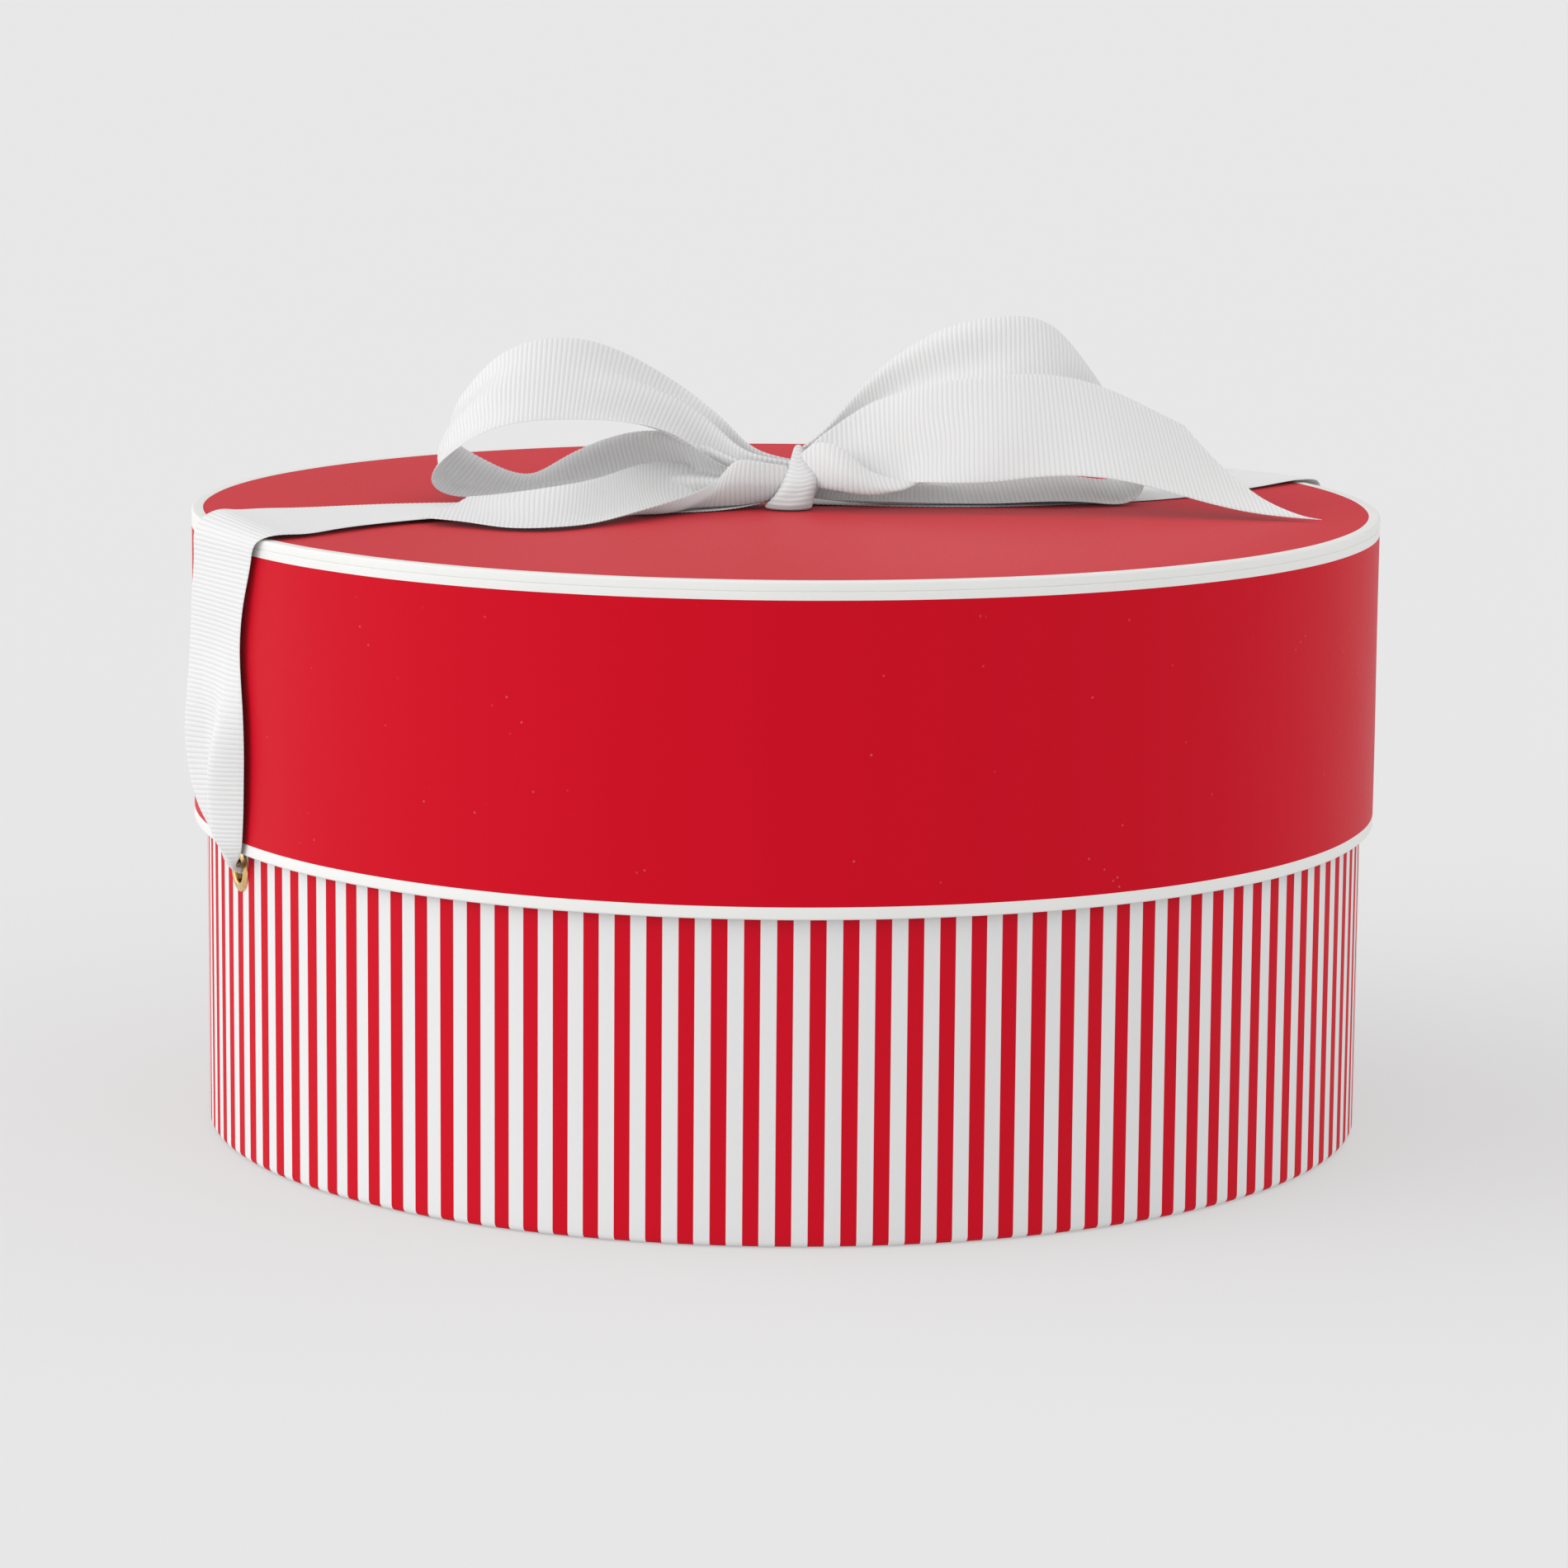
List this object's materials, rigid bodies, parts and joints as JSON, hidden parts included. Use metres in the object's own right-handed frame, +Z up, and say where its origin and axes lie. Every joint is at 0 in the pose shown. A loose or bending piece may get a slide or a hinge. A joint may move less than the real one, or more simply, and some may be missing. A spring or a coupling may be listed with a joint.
{
  "type": "hat box",
  "caption": "Round cardboard hat box with a striped base, a red lift-off lid, brass eyelets and a white ribbon tied in a bow on top.",
  "frame": {"origin": "middle of the underside of the base, on the surface it stands on", "axes": "+Z up; the two eyelets and the ribbon's strands lie along X, with the left ones at -X"},
  "size_m": [0.3576, 0.356, 0.2408],
  "materials": {
    "greyboard": "rolled greyboard, matt, seen only at its edges",
    "gummed_tape": "brown gummed paper tape",
    "striped_paper": "smooth printed paper with even vertical red and white stripes",
    "red_paper": "uncoated red paper with a fine grain, slightly wavy over the board",
    "white_binding": "white paper tape, matt",
    "lining_paper": "plain white lining paper",
    "bottom_paper": "plain white paper",
    "brass": "polished, lightly worn",
    "grosgrain": "white grosgrain with ribs across it"
  },
  "bodies": {
    "base": {"base_bottom_board": "greyboard", "base_wall_board": "greyboard", "base_wall_seam_tape": "gummed_tape", "base_stripe_wrap": "striped_paper", "base_bottom_paper": "bottom_paper", "base_wall_lining": "lining_paper", "base_floor_lining": "lining_paper", "eyelet_left": "brass", "eyelet_washer_left": "brass", "ribbon_knot_left": "grosgrain", "ribbon_throat_left": "grosgrain", "ribbon_side_left": "grosgrain", "eyelet_right": "brass", "eyelet_washer_right": "brass", "ribbon_knot_right": "grosgrain", "ribbon_throat_right": "grosgrain", "ribbon_side_right": "grosgrain"},
    "ribbon_bow": {"ribbon_top_left": "grosgrain", "bow_loop_left": "grosgrain", "bow_tail_left": "grosgrain", "ribbon_top_right": "grosgrain", "bow_loop_right": "grosgrain", "bow_tail_right": "grosgrain", "bow_knot": "grosgrain"},
    "lid": {"lid_top_board": "greyboard", "lid_wall_board": "greyboard", "lid_wall_seam_tape": "gummed_tape", "lid_top_paper": "red_paper", "lid_wall_paper": "red_paper", "lid_top_edge_binding": "white_binding", "lid_wall_top_binding": "white_binding", "lid_bottom_edge_binding": "white_binding", "lid_top_lining": "lining_paper", "lid_wall_lining": "lining_paper"}
  },
  "joints": [
    {"name": "lid_lift", "type": "slide", "parent": "base", "child": "ribbon_bow", "axis": [0, 0, 1], "range_m": [0, 0.12], "deforming": ["ribbon_side_left", "ribbon_side_right"]},
    {"name": "lid_turn", "type": "hinge", "parent": "ribbon_bow", "child": "lid", "pos_m": [0, 0, 0.186], "axis": [0, 0, 1], "continuous": true}
  ]
}
